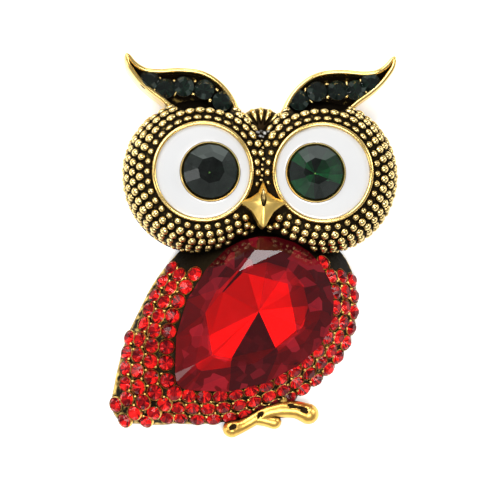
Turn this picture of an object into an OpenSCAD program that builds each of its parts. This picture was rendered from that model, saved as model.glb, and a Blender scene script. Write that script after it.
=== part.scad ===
// Figural owl brooch: a hollow-backed casting set with a pear stone, a field of small stones,
// two enamelled eyes and two stone-set ears. It lies on its back: +Z comes out of the face and
// +Y points to the ears. The back rim lies in z = 0, below the middle of the outline.

/* [Pear stone] */
// Width of the pear stone
pear_w = 19.8; // [17:0.1:22]
// Length of the pear stone, round end to tip
pear_l = 27.4; // [25:0.1:31]
// Radius of its rounded tip
pear_tip_r = 1.7; // [1.2:0.1:2.2]
// Height of its table above the girdle
pear_crown = 2.7; // [1.5:0.1:4]
// Depth of its point below the girdle
pear_depth = 4.2; // [3:0.1:4.6]

/* [Body] */
// Width of the stone field beside the pear, in plan
field_w = 3.7; // [3.2:0.1:4.6]
// Height of the plain flange round the body
edge_h = 1.3; // [0.8:0.1:2]
// Height of the dome where it meets the pear stone
dome_h = 6.2; // [5.4:0.1:7.5]
// Wall of the hollow casting
wall_t = 1.2; // [1:0.1:1.5]
// Clearance between a stone or enamel and its seat
fit = 0.1; // [0.05:0.01:0.15]

/* [Small stones] */
// Diameter of a small body stone
pave_d = 2.1; // [1.6:0.05:2.15]
// Distance between neighbouring small stones
pave_pitch = 2.28; // [2.25:0.01:2.8]
// Diameter of an ear stone
ear_stone_d = 2.8; // [2.2:0.1:2.9]

/* [Head] */
// Distance between the middles of the eyes
eye_spacing = 17.5; // [17:0.1:19]
// Rise of the eye line above the pear's round end
eye_rise = 9.1; // [8.4:0.1:10.8]
// Outer diameter of the gold ring round an eye
eye_ring_d = 14.8; // [13.6:0.1:15.4]
// Width of that ring
eye_ring_t = 0.55; // [0.4:0.05:0.8]
// Diameter of a side of the head
lobe_d = 22; // [20.5:0.1:24]
// Height of the head beside the eye ring
lobe_h = 8.4; // [7.6:0.1:9.5]
// Height of the plain side wall of the head
lobe_edge_h = 4.2; // [3.4:0.1:5]
// Diameter of a cast bead
bead_d = 1.05; // [0.8:0.05:1.2]
// Distance between the rows of cast beads
bead_pitch = 1.25; // [1.2:0.05:1.6]

/* [Eyes] */
// Diameter of the eye stone
eye_stone_d = 8.1; // [6.5:0.1:8.6]
// Wall of the gold cup round the eye stone
eye_cup_t = 0.35; // [0.3:0.05:0.5]
// Shift of the eye stone towards the beak
eye_turn_in = 1.05; // [0:0.05:1.2]
// Thickness of the enamel
enamel_t = 0.9; // [0.6:0.1:1.2]

/* [Ears] */
// Width of an ear from its root to its tip
ear_w = 17.6; // [16:0.1:19]
// Height of an ear from its root to its tip
ear_h = 9.2; // [8.4:0.1:11]
// Height of the ear's rim
ear_top = 6; // [5.4:0.1:6.8]
// Depth of the ear's hollow
ear_hollow = 1.7; // [1.3:0.1:2.2]
// Width of the ear's rim
ear_rim_t = 0.65; // [0.5:0.05:0.9]

/* [Beak and feet] */
// Width of the beak across its side points
beak_w = 7; // [6:0.1:8]
// Length of the beak from its top point to its tip
beak_l = 6.8; // [6:0.1:7.2]
// Thickness of a toe
toe_d = 1.5; // [1.2:0.1:2]

/* [Pin] */
// Length of the pin's back bar
pin_l = 25; // [20:0.5:27]
// Diameter of the pin stem
stem_d = 0.9; // [0.7:0.05:1.2]

/* [Hidden] */
through = 1;

// The pear's own frame: the middle of its round end, with its tip along +X
pear_at_x = 1.3;
pear_at_y = -9.2;
pear_turn = 223.4;
pear_r = pear_w / 2;
tip_arc_x = pear_l - pear_r - pear_tip_r;
side_r = (pow(tip_arc_x, 2) + pow(pear_r - pear_tip_r, 2)) / (2 * (pear_r - pear_tip_r))
    + pear_tip_r;
side_turn = asin(tip_arc_x / (side_r - pear_tip_r));
girdle_z = dome_h + 0.35;
// Columns: place along the pear and across it, as shares of the pear's half width
TABLE = [[-0.4, 0], [0, -0.62], [0.78, -0.515], [1.125, 0], [0.78, 0.515], [0, 0.62]];
pear_overhang = 0.5;
cup_t = 0.6;
point_x = 1.2;

// Columns: direction from the pear's tip in degrees, field width as a share of field_w
FIELD = [
    [-180, 1.08], [-165, 0.95], [-135, 0.92], [-105, 1.05], [-80, 1.29], [-68, 1.45],
    [-60, 1.56], [-52, 1.79], [-43, 2.07], [-33, 2.42], [-20, 2.6], [-13, 2.55],
    [-7, 2.33], [0, 2], [12, 1.64], [24, 1.4], [36, 1.22], [58, 1], [73, 0.96],
    [95, 0.945], [115, 0.98], [135, 1.02], [155, 1.13], [167, 1.15], [180, 1.08]];
// Columns: first and last direction of a row of small stones, from the pear outwards
STONE_ROWS = [[-78, 173], [-75, 158], [-76, 154], [-60, 2], [-36, -10]];
stone_step = 5;
pave_crown = pave_d * 0.28;
pave_depth = pave_d * 0.32;
dome_step = 8;

// The head's frame: the middle between the eyes
head_at_x = 0.6;
head_at_y = pear_at_y + pear_r + eye_rise;
eye_x = eye_spacing / 2;
eye_ring_r = eye_ring_d / 2;
lobe_r = lobe_d / 2;
eye_floor_z = lobe_h - 0.4;
eye_ring_top = lobe_h + 1;
eye_cup_r = eye_stone_d / 2 + fit + eye_cup_t;
eye_cup_top = eye_floor_z + enamel_t + 0.5;
eye_stone_z = eye_cup_top;
eye_stone_crown = 1.6;
eye_stone_depth = 2.6;
eye_cup_foot_z = eye_floor_z - eye_stone_depth - wall_t;
bead_rows = 4;
bead_step = 1.65;
lobe_turn = 4;

// Columns: outward and upward place on the edge of an ear, as shares of ear_w and ear_h
EAR = [
    [0, 0], [0.04, 0.1], [0.08, 0.27], [0.13, 0.42], [0.2, 0.56], [0.29, 0.68], [0.4, 0.75],
    [0.56, 0.77], [0.71, 0.75], [0.82, 0.77], [0.9, 0.86], [0.95, 0.97], [0.985, 1],
    [1, 0.94], [0.985, 0.8], [0.94, 0.66], [0.88, 0.52], [0.8, 0.38], [0.7, 0.24],
    [0.55, 0.03], [0.3, -0.08]];
ear_root_x = eye_x * 0.27;
ear_root_y = lobe_r * 0.775;
// Columns: outward and upward place of an ear stone, as shares of ear_w and ear_h
EAR_STONES = [[0.185, 0.23], [0.335, 0.385], [0.505, 0.43], [0.66, 0.42], [0.795, 0.56]];
ear_back_z = 1.2;
ear_stone_z = ear_top - 0.5;

// Columns: outward and upward place on half of the beak, as shares of its half width and length
BEAK = [[0, 0.46], [0.2, 0.22], [0.5, 0.11], [1, 0], [0.72, -0.09], [0.46, -0.19],
    [0.26, -0.36], [0.13, -0.49], [0.03, -0.54]];
beak_y = -eye_rise + beak_l * 0.68;
beak_top = eye_ring_top + 1;

crest_r = 3.9;
crest_y = 6.1;
crest_top = lobe_edge_h + 2.2;
crest_back_z = lobe_edge_h - 1.5;
crest_tufts = 7;
tuft_step = 20;
tuft_h = 0.9;
tuft_w = 0.11;

// Columns: place along and across from the body's foot point, height, thickness as shares of toe_d
TOES = [
    [[-3.4, -3.9, 1.5, 1.45], [-1.9, -3.3, 1.5, 1], [0, -2.2, 1.6, 0.95]],
    [[0, -2.2, 1.6, 0.95], [2.8, -2.9, 1.5, 1]],
    [[0, -2.2, 1.6, 0.95], [3.9, -1.1, 1.7, 1.1]],
    [[1.2, 0.2, 1.4, 1.2], [2, -1.7, 1.5, 1]],
    [[4.2, 1.4, 1.4, 1.2], [3.9, -1.1, 1.6, 1]],
    [[3.9, -1.1, 1.7, 1.1], [6, -0.9, 1.7, 1], [7.8, -1.8, 1.6, 1.45]]];
foot_at_x = 0.1;
foot_at_y = -23.1;

pin_seat_z = eye_cup_foot_z - 0.6;
pin_block_l = 2;
bar_t = 0.8;
bar_w = 3;
stem_z = 1.3;
post_d = 3;

function wrap(a) = a - 360 * round(a / 360);
function side_of(a) = a < 0 ? -1 : 1;

// A point of the pear's edge, pushed outwards by a distance, in the direction of its normal
function pear_at(a, out = 0) =
    let (t = wrap(a), s = side_of(t), n = [cos(t), sin(t)])
    abs(t) >= 90 ? (pear_r + out) * n
    : abs(t) >= 90 - side_turn ? [0, -s * (side_r - pear_r)] + (side_r + out) * n
    : [tip_arc_x, 0] + (pear_tip_r + out) * n;

// A smooth value between the rows of a table
function slope_at(t, i) =
    let (a = t[max(i - 1, 0)], b = t[min(i + 1, len(t) - 1)]) (b[1] - a[1]) / (b[0] - a[0]);
function smooth_lookup(t, x) =
    let (i = max([for (k = [0:len(t) - 2]) if (t[k][0] <= x) k]), a = t[i], b = t[i + 1],
        h = b[0] - a[0], f = (x - a[0]) / h, f2 = f * f, f3 = f2 * f)
    (2 * f3 - 3 * f2 + 1) * a[1] + (f3 - 2 * f2 + f) * h * slope_at(t, i)
    + (3 * f2 - 2 * f3) * b[1] + (f3 - f2) * h * slope_at(t, i + 1);
function field_share(a) = smooth_lookup(FIELD, wrap(a));

// The dome beside the pear falls from dome_h to edge_h, straighter where the field is narrow
function dome_power(a) = min(2.3, 1.1 + 1.4 * max(0, field_share(a) - 1));
function dome_w(a) = field_w * field_share(a) + pear_overhang;
function dome_z(a, f, inset = 0) =
    let (foot = edge_h - inset / 2)
    foot + (dome_h - inset - foot) * (1 - pow(f, dome_power(a)));
function dome_at(a, f, inset = 0) =
    let (p = pear_at(a, f * dome_w(a) - pear_overhang - inset)) [p.x, p.y, dome_z(a, f, inset)];

// Distance run down the dome against the share of its width
run_steps = 14;
function run_table(a) =
    [for (i = 0, s = 0; i <= run_steps; i = i + 1,
        s = s + norm(dome_at(a, min(1, i / run_steps)) - dome_at(a, max(0, (i - 1) / run_steps))))
        [s, i / run_steps]];
function row_start(a) = pave_pitch / 2 + fit + min(0.45, 0.9 * max(0, field_share(a) - 1));
function row_run(a, row) = row_start(a) + row * pave_pitch;
function row_share(a, row) = lookup(row_run(a, row), run_table(a));
function row_fits(a, row) = row_run(a, row) + pave_d * 0.15 <= run_table(a)[run_steps][0];
function row_at(a, row) = dome_at(a, row_share(a, row));
function dome_tilt(a, f) =
    let (d = 0.02, lo = max(0, f - d), hi = min(1, f + d))
    atan2(dome_z(a, lo) - dome_z(a, hi), (hi - lo) * dome_w(a));

// Directions of the stones of a row, equally spaced along it
function row_turns(row) =
    let (r = STONE_ROWS[row], m = ceil((r[1] - r[0]) / stone_step),
        a = [for (i = [0:m]) r[0] + (r[1] - r[0]) * i / m],
        p = [for (x = a) row_at(x, row)],
        s = [for (i = 0, q = 0; i <= m; i = i + 1,
            q = q + (i <= m ? norm(p[i] - p[i - 1]) : 0)) q],
        run = [for (i = [0:m]) [s[i], a[i]]],
        n = floor(s[m] / pave_pitch))
    [for (i = [0:n]) let (x = lookup(s[m] * i / n, run)) if (row_fits(x, row)) x];
function closed_curve(p, steps) =
    let (n = len(p))
    [for (i = [0:n - 1], k = [0:steps - 1])
        let (f = k / steps, a = p[(i + n - 1) % n], b = p[i], c = p[(i + 1) % n], d = p[(i + 2) % n])
        0.5 * (2 * b + (c - a) * f + (2 * a - 5 * b + 4 * c - d) * f * f
            + (3 * b - a - 3 * c + d) * f * f * f)];

module at_pear() translate([pear_at_x, pear_at_y, 0]) rotate(pear_turn) children();
module at_head() translate([head_at_x, head_at_y, 0]) children();

// A stack of rings, closed at both ends
module skin(rings) {
    n = len(rings[0]);
    m = len(rings);
    polyhedron(
        points = [for (r = rings) each r],
        faces = concat(
            [[for (i = [0:n - 1]) i]],
            [for (k = [0:m - 2], i = [0:n - 1])
                [k * n + i, (k + 1) * n + i, (k + 1) * n + (i + 1) % n, k * n + (i + 1) % n]],
            [[for (i = [n - 1:-1:0]) (m - 1) * n + i]]));
}

// The domed body, or with an inset the hollow inside it
module dome(inset, foot_z) {
    steps = 4;
    turns = [for (a = [0:dome_step:359]) a];
    skin(concat(
        [[for (a = turns) let (p = dome_at(a, 1, inset)) [p.x, p.y, foot_z]]],
        [for (k = [0:steps]) [for (a = turns) dome_at(a, 1 - k / steps, inset)]]));
}

module pear_plate(out, h, first = 7.5) {
    linear_extrude(h) polygon([for (a = [first:15:359]) pear_at(a, out)]);
}

// The stone below its girdle, or its bowl where out is a clearance or a wall
module pear_point(out) {
    hull() {
        translate([0, 0, girdle_z - 0.1]) pear_plate(out, 0.1);
        translate([0, 0, girdle_z - pear_depth * 0.55 - out / 2]) linear_extrude(0.01)
            polygon([for (a = [15:30:359]) pear_at(a) * 0.6 + out * [cos(a), sin(a)]]);
        translate([point_x, 0, girdle_z - pear_depth - out])
            cylinder(r = 0.1 + out, h = 0.01, $fn = 6);
    }
}

module pear_cup() {
    intersection() {
        pear_point(fit + cup_t);
        pear_plate(-pear_overhang, dome_h - wall_t / 2, 2.5);
    }
}

// One small cut stone: an eight-sided table, eight crown facets and eight down to its point
module cut_stone(d, crown, depth) {
    hull() {
        cylinder(d1 = d, d2 = d * 0.55, h = crown, $fn = 8);
        translate([0, 0, -depth]) cylinder(d1 = 0, d2 = d, h = depth, $fn = 8);
    }
}

module on_row_places() {
    at_pear() for (row = [0:len(STONE_ROWS) - 1], a = row_turns(row))
        translate(row_at(a, row)) rotate([0, dome_tilt(a, row_share(a, row)), a]) children();
}

module stone_seats() {
    seat_r = pave_d / 2 + fit;
    depth = pave_depth + fit;
    on_row_places() rotate(22.5) translate([0, 0, -depth])
        cylinder(r1 = 0, r2 = seat_r * (1 + 2 * fit / depth), h = depth + 2 * fit, $fn = 6);
}

// One side of the head, solid down to the back
module lobe() {
    band = lobe_r - eye_ring_r;
    rise = lobe_h - lobe_edge_h;
    rotate_extrude($fn = 30)
        polygon(concat([[0, 0], [lobe_r, 0]],
            [for (t = [90:-22.5:0]) [eye_ring_r + band * sin(t), lobe_edge_h + rise * cos(t)]],
            [[eye_ring_r, eye_ring_top], [eye_ring_r - eye_ring_t, eye_ring_top],
                [eye_ring_r - eye_ring_t, eye_floor_z], [0, eye_floor_z]]));
}

module lobe_hollow() {
    band = lobe_r - eye_ring_r;
    floor_z = eye_floor_z - wall_t - 1;
    rotate_extrude($fn = 20)
        polygon([[0, -through], [lobe_r - wall_t, -through], [lobe_r - wall_t, lobe_edge_h],
            [eye_ring_r + band * 0.4 - wall_t * 0.5, floor_z], [0, floor_z]]);
}

// Cast beads stand in rows round the eye ring
module lobe_beads(side) {
    band = lobe_r - eye_ring_r;
    rise = lobe_h - lobe_edge_h;
    for (row = [0:bead_rows - 1]) {
        t = min(80, (row + 0.5) * bead_pitch / ((band + rise) / 2) * 180 / PI);
        r = eye_ring_r + band * sin(t);
        n = floor(2 * PI * r / bead_step);
        for (i = [0:n - 1]) {
            a = (i + row * 0.5) * 360 / n;
            x = eye_x + r * cos(a);
            y = r * sin(a);
            from_pear = norm([side * x + head_at_x - pear_at_x, y + head_at_y - pear_at_y]);
            by_beak = abs(x) / (beak_w * 0.56) + abs(y - beak_y) / (beak_l * 0.62);
            z = lobe_edge_h + rise * cos(t);
            by_crest = x < crest_r * 0.75 && y > crest_y;
            under_ear = z < ear_top && y > ear_root_y;
            if (x > bead_d * 0.55 && from_pear > pear_r + cup_t + bead_d * 0.3 && by_beak > 1
                && !by_crest && !under_ear)
                translate([side * x, y, z])
                    rotate([0, t, side > 0 ? a : 180 - a]) translate([0, 0, -bead_d * 0.15])
                        cylinder(d1 = bead_d * 1.1, d2 = bead_d * 0.5, h = bead_d * 0.55, $fn = 4);
        }
    }
}

function ear_edge(side) =
    [for (p = EAR) [side * (ear_root_x + p.x * ear_w), ear_root_y + p.y * ear_h]];

module ear(side) {
    outline = closed_curve(ear_edge(side), 2);
    difference() {
        translate([0, 0, ear_back_z]) linear_extrude(ear_top - ear_back_z) polygon(outline);
        translate([0, 0, ear_top - ear_hollow]) linear_extrude(ear_hollow + through)
            offset(delta = -ear_rim_t) polygon(outline);
    }
}

function ear_stone_place(side, i) =
    [side * (ear_root_x + EAR_STONES[i].x * ear_w), ear_root_y + EAR_STONES[i].y * ear_h];

// A fan of feather tufts between the ears, one ridge to a tuft
module crest() {
    turns = [for (i = [0:crest_tufts - 1]) 90 + (i - (crest_tufts - 1) / 2) * tuft_step];
    side = crest_r * 0.92;
    translate([0, crest_y, 0]) {
        translate([0, 0, crest_back_z]) linear_extrude(crest_top - tuft_h - crest_back_z)
            polygon(concat([[0, -crest_r * 0.35]], [for (a = turns, k = [-0.5, 0, 0.5])
                (k == 0 ? crest_r : side) * [cos(a + k * tuft_step), sin(a + k * tuft_step)]]));
        for (a = turns) rotate(a) translate([crest_r * 0.6, 0, crest_top - tuft_h * 1.2])
            linear_extrude(tuft_h * 1.2, scale = [0.7, 0.2])
                polygon(crest_r * [[-0.48, 0], [0.12, -tuft_w], [0.36, 0], [0.12, tuft_w]]);
    }
}

module beak() {
    half = [for (p = BEAK) [p.x * beak_w / 2, p.y * beak_l]];
    star = concat(half, [for (i = [len(half) - 1:-1:1]) [-half[i].x, half[i].y]]);
    base_z = lobe_h - 0.6;
    translate([0, beak_y, 0]) difference() {
        union() {
            translate([0, 0, edge_h]) linear_extrude(base_z + 0.8 - edge_h)
                polygon(star);
            translate([0, 0, base_z + 0.8]) linear_extrude(beak_top - base_z - 0.8, scale = 0.5)
                polygon(star);
        }
        translate([0, beak_l * 0.02, beak_top]) cube([0.5, beak_l * 0.3, 0.7], center = true);
    }
}

module feet() {
    translate([foot_at_x, foot_at_y, 0])
        for (toe = TOES, i = [0:len(toe) - 2]) hull() for (k = [i, i + 1])
            translate([toe[k].x, toe[k].y, toe[k].z]) sphere(d = toe[k][3] * toe_d, $fn = 6);
}

// The gold cup that holds an eye stone, a little nearer the beak than the ring's middle
module eye_cup(side) {
    translate([side * (eye_x - eye_turn_in), 0, eye_cup_foot_z])
        cylinder(r = eye_cup_r, h = eye_cup_top - eye_cup_foot_z, $fn = 20);
}

module eye_seat(side) {
    seat_r = eye_stone_d / 2 + fit;
    foot_z = -eye_stone_depth - fit;
    translate([side * (eye_x - eye_turn_in), 0, eye_stone_z]) rotate_extrude($fn = 20)
        polygon([[0, foot_z], [0.6, foot_z], [seat_r, -0.3], [seat_r, through], [0, through]]);
}

module ear_seat(side, i) {
    place = ear_stone_place(side, i);
    translate([place.x, place.y, ear_top - ear_hollow])
        cylinder(r = ear_stone_d / 2 + fit, h = lobe_h - ear_top + ear_hollow, $fn = 8);
}

// Room for the pear stone from its point to above its table
module pear_seat() {
    at_pear() {
        pear_point(fit);
        translate([0, 0, girdle_z - 0.1]) pear_plate(fit, lobe_h);
    }
}

// A post under each eye carries the pin
module pin_post(side) {
    translate([side * eye_x, 0, pin_seat_z])
        cylinder(d = post_d, h = eye_floor_z - wall_t - pin_seat_z, $fn = 16);
}

// The casting with every seat open to the front
module casting() {
    color("goldenrod") difference() {
        union() {
            difference() {
                union() {
                    at_pear() dome(0, 0);
                    at_head() for (side = [-1, 1]) {
                        translate([side * eye_x, 0, 0]) rotate(side * lobe_turn) lobe();
                        ear(side);
                    }
                    at_head() crest();
                    at_head() beak();
                    feet();
                }
                at_pear() dome(wall_t, -through);
                at_head() for (side = [-1, 1]) translate([side * eye_x, 0, 0]) lobe_hollow();
            }
            at_pear() pear_cup();
            at_head() for (side = [-1, 1]) {
                lobe_beads(side);
                eye_cup(side);
                pin_post(side);
            }
        }
        pear_seat();
        stone_seats();
        at_head() for (side = [-1, 1]) eye_seat(side);
        at_head() for (side = [-1, 1], i = [0:4]) ear_seat(side, i);
    }
}

// The pin, its back bar, hinge block and catch in one piece, inside the hollow back
module pin_back() {
    bar_z = pin_seat_z - bar_t;
    block_h = bar_z - stem_z + stem_d / 2 + 0.2;
    color("darkgoldenrod") at_head() {
        translate([-pin_l / 2, -bar_w / 2, bar_z]) cube([pin_l, bar_w, bar_t]);
        for (side = [-1, 1])
            translate([side * (pin_l - pin_block_l) / 2 - pin_block_l / 2, -bar_w / 2, bar_z - block_h])
                cube([pin_block_l, bar_w, block_h + bar_t / 2]);
        translate([(pin_block_l - pin_l) / 2, 0, stem_z]) rotate([0, 90, 0])
            cylinder(d = stem_d, h = pin_l - pin_block_l, $fn = 32);
    }
}

// A white enamel ring fills the floor round the eye stone's cup
module eye_enamel(side) {
    color("white") at_head() translate([side * eye_x, 0, eye_floor_z]) difference() {
        cylinder(r = eye_ring_r - eye_ring_t - fit, h = enamel_t, $fn = 64);
        translate([-side * eye_turn_in, 0, -through])
            cylinder(r = eye_cup_r + fit, h = enamel_t + 2 * through, $fn = 64);
    }
}

module eye_stone(side) {
    color("darkgreen") at_head() translate([side * (eye_x - eye_turn_in), 0, eye_stone_z])
        hull() {
            translate([0, 0, eye_stone_crown - 0.01])
                cylinder(d = eye_stone_d * 0.46, h = 0.01, $fn = 8);
            translate([0, 0, -eye_stone_depth])
                cylinder(d1 = 0.4, d2 = eye_stone_d, h = eye_stone_depth, $fn = 16);
        }
}

module ear_stone(side, i) {
    place = ear_stone_place(side, i);
    color("darkslategray") at_head() translate([place.x, place.y, ear_stone_z])
        cut_stone(ear_stone_d, ear_stone_d * 0.22, ear_stone_d * 0.4);
}

module body_stone() {
    color("crimson") at_pear() hull() {
        pear_point(0);
        translate([0, 0, girdle_z + pear_crown * 0.62]) linear_extrude(0.01)
            polygon([for (a = [0:30:359]) pear_at(a, 0) * 0.8]);
        translate([0, 0, girdle_z + pear_crown - 0.01]) linear_extrude(0.01)
            polygon(pear_r * TABLE);
    }
}

module pave_stones() {
    color("red") on_row_places() cut_stone(pave_d, pave_crown, pave_depth);
}

casting();
pin_back();
body_stone();
pave_stones();
eye_enamel(-1);  // eye_enamel_left
eye_enamel(1);  // eye_enamel_right
eye_stone(-1);  // eye_stone_left
eye_stone(1);  // eye_stone_right
for (i = [0:4]) {
    ear_stone(-1, i);
    ear_stone(1, i);
}
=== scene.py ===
import random
from itertools import combinations
from math import asin, atan2, ceil, cos, degrees, hypot, pi, radians, sin
import bpy
import bmesh
from mathutils import Matrix, Vector


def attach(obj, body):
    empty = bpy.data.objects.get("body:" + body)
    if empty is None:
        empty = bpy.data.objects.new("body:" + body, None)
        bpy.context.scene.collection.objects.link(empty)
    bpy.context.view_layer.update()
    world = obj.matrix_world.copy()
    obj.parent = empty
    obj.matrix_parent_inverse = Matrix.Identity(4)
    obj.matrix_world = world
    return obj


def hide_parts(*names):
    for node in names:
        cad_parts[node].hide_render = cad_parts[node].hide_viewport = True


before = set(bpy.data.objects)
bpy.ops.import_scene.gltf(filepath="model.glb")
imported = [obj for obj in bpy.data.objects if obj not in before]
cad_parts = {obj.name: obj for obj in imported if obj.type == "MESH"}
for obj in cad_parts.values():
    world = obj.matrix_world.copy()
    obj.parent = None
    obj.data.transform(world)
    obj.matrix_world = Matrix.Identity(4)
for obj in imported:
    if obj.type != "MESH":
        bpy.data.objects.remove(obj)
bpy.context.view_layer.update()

# Lengths are in millimetres up to the last step of each piece, which turns them into metres.
MM = 0.001
UP = Vector((0, 0, 1))
SIDES = ((-1, "left"), (1, "right"))
SAME_SPOT = 0.0005
# Material numbers of the recesses and of the back, where a piece of gold has three
RECESS_PART, BACK_PART = 1, 2

PEAR_AT = Vector((1.3, -9.2, 0))
PEAR_TURN = 223.4
PEAR_R = 9.9
PEAR_TIP_R = 1.7
PEAR_L = 27.4
TIP_X = PEAR_L - PEAR_R - PEAR_TIP_R
SIDE_R = (TIP_X ** 2 + (PEAR_R - PEAR_TIP_R) ** 2) / (2 * (PEAR_R - PEAR_TIP_R)) + PEAR_TIP_R
SIDE_TURN = degrees(asin(TIP_X / (SIDE_R - PEAR_TIP_R)))
FIELD_W, EDGE_H, DOME_H, WALL, OVERHANG, FIT = 3.7, 1.3, 6.2, 1.2, 0.5, 0.1
GIRDLE_Z = DOME_H + 0.35
PEAR_CROWN, PEAR_DEPTH, POINT_X = 2.7, 4.2, 1.2
# The pear stone's middle corners below and above its edge: how far out and how deep or high
BACK_SHARE, BACK_DEPTH, CROWN_SHARE, CROWN_RISE = 0.6, 0.55, 0.8, 0.62
DOME_STEPS, RING_STEPS = 14, 120
# A facet that looks up more than this is a stone's table
TABLE_UP = 0.98
PEAR_TABLE = [(-0.4, 0), (0, -0.62), (0.78, -0.515), (1.125, 0), (0.78, 0.515), (0, 0.62)]
# Directions round the pear, with the width of the stones' field there as a share of FIELD_W
FIELD = [(-180, 1.08), (-165, 0.95), (-135, 0.92), (-105, 1.05), (-80, 1.29), (-68, 1.45),
         (-60, 1.56), (-52, 1.79), (-43, 2.07), (-33, 2.42), (-20, 2.6), (-13, 2.55),
         (-7, 2.33), (0, 2), (12, 1.64), (24, 1.4), (36, 1.22), (58, 1), (73, 0.96),
         (95, 0.945), (115, 0.98), (135, 1.02), (155, 1.13), (167, 1.15), (180, 1.08)]
# First and last direction of each row of small stones
STONE_ROWS = [(-78, 173), (-75, 158), (-76, 154), (-60, 2), (-36, -10)]
STONE_D, STONE_PITCH = 2.1, 2.28

HEAD = Vector((0.6, 9.8, 0))
EYE_X, LOBE_R, LOBE_H, LOBE_EDGE = 8.75, 11.0, 8.4, 4.2
RING_R, RING_T, RING_TOP, FLOOR_Z = 7.4, 0.55, 9.4, 8.0
LOBE_BAND, LOBE_RISE = LOBE_R - RING_R, LOBE_H - LOBE_EDGE
EYE_STONE_D, EYE_STONE_Z, CUP_R, TURN_IN, CUP_FOOT = 8.1, 9.4, 4.5, 1.05, 4.2
EAR_W, EAR_H, EAR_TOP, EAR_FLOOR, EAR_BACK = 17.6, 9.2, 6.0, 4.3, 1.2
EAR_ROOT = Vector((EYE_X * 0.27, LOBE_R * 0.775, 0))
BAND_R, ROOM_STEPS, CREST_Y, CREST_R = 9.3, 16, 6.1, 4.2
# The ear's edge and the places of its stones, as shares of its width and height
EAR = [(0, 0), (0.04, 0.1), (0.08, 0.27), (0.13, 0.42), (0.2, 0.56), (0.29, 0.68), (0.4, 0.75),
       (0.56, 0.77), (0.71, 0.75), (0.82, 0.77), (0.9, 0.86), (0.95, 0.97), (0.985, 1),
       (1, 0.94), (0.985, 0.8), (0.94, 0.66), (0.88, 0.52), (0.8, 0.38), (0.7, 0.24),
       (0.55, 0.03), (0.3, -0.08)]
EAR_STONES = [(0.185, 0.23), (0.335, 0.385), (0.505, 0.43), (0.66, 0.42), (0.795, 0.56)]
EAR_STONE_D, EAR_STONE_Z, EAR_SEAT_R, EAR_STEP_Z = 2.8, 5.5, 1.46, 5.45
# How far each ear stone stands off its row, as on the real brooch
HAND_SET = {-1: [(0, 0.12), (0, 0.4), (0, 0.38), (0, 0.2), (0, 0.05)],
            1: [(0, 0.4), (0, 0.3), (0, 0.1), (0, 0.25), (-0.25, 0)]}
# Rows of beads: steps from the eye's ring, space for a bead, its size and how far the row drops
BEAD_STEP = 1.25
BEAD_ROWS = [(0.5, 1.46, 1.14, 0), (1.5, 1.46, 1.32, 0), (2.5, 1.4, 1.36, 0),
             (3.5, 1.4, 1.3, 0), (4.4, 1.4, 1.06, 0), (5.3, 1.4, 0.98, 0.8)]
# Place on the head and size of the beads between the eyes, and of the rough lumps above them, whose
# grey is a painted highlight
FOLD_BEADS = [(-0.25, 2.85, 1.25), (0.15, 2.0, 0.75), (-0.02, 1.15, 0.6), (0, 0.45, 0.7),
              (-0.05, -0.4, 0.6), (-0.2, -1.1, 0.65), (-0.85, -1.7, 0.85), (0.82, -1.5, 0.85),
              (-0.05, 4.7, 0.8), (0.1, 3.7, 0.75)]
GREY_LUMPS = [(-0.7, 5.9, 1.05), (-0.1, 6.05, 1.35), (0.5, 5.85, 1.2), (0.15, 5.25, 1.05),
                (-0.35, 5.35, 1.0), (1.0, 6.1, 0.8)]
# Half of the beak's edge, as shares of half its width and of its length
BEAK = [(0, 0.46), (0.2, 0.22), (0.5, 0.11), (1, 0), (0.72, -0.09), (0.46, -0.19),
        (0.26, -0.36), (0.13, -0.49), (0.03, -0.54)]
BEAK_W, BEAK_L = 7.0, 6.8
BEAK_Y = -9.1 + BEAK_L * 0.68
FOOT = Vector((0.1, -23.1, 0))
# Place, half length, half width and turn of each dark mark
CLAW_MARKS = [(5.3, -0.65, 0.75, 0.24, -14), (6.9, -1.15, 1.05, 0.27, -26),
              (-3.3, -3.75, 0.6, 0.32, 25), (0.5, -2.05, 0.5, 0.26, 65), (0.9, -1.85, 0.45, 0.2, 65)]
# Place and radius along each toe
TOES = [
    [(-3.4, -3.9, 1.5, 1.4), (-1.9, -3.4, 1.5, 1.1), (0, -2.3, 1.6, 1.1)],
    [(0, -2.3, 1.6, 1.1), (1.5, -2.6, 1.5, 1), (2.8, -2.9, 1.5, 1.1)],
    [(0, -2.3, 1.6, 1.1), (1.9, -1.4, 1.7, 1.25), (3.9, -1, 1.7, 1.35)],
    [(1.2, 0.2, 1.4, 1.2), (2, -1.7, 1.5, 1)],
    [(4.2, 1.4, 1.4, 1.2), (3.9, -1.1, 1.6, 1)],
    [(3.9, -1, 1.7, 1.35), (6, -1.1, 1.7, 1.35), (7.8, -1.7, 1.6, 1.6)]]


# Places and directions

def shift(way):
    return Matrix.Translation(way)


def spun(angle, axis):
    """A turn by an angle in radians."""
    return Matrix.Rotation(angle, 4, axis)


def wrapped(a):
    """An angle between -180 and 180."""
    return a - 360 * round(a / 360)


def flat(p):
    """The place under a point."""
    return Vector((p.x, p.y, 0))


def turn_of(a):
    """The direction of an angle, seen from above."""
    return Vector((cos(radians(a)), sin(radians(a)), 0))


# Shapes of the body, the same as those of the solids

def pear_edge(a, out=0.0):
    """A point of the pear's edge, pushed outwards along its normal."""
    t = wrapped(a)
    s = -1 if t < 0 else 1
    if abs(t) >= 90:
        return turn_of(t) * (PEAR_R + out)
    if abs(t) >= 90 - SIDE_TURN:
        return Vector((0, -s * (SIDE_R - PEAR_R), 0)) + turn_of(t) * (SIDE_R + out)
    return Vector((TIP_X, 0, 0)) + turn_of(t) * (PEAR_TIP_R + out)


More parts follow.
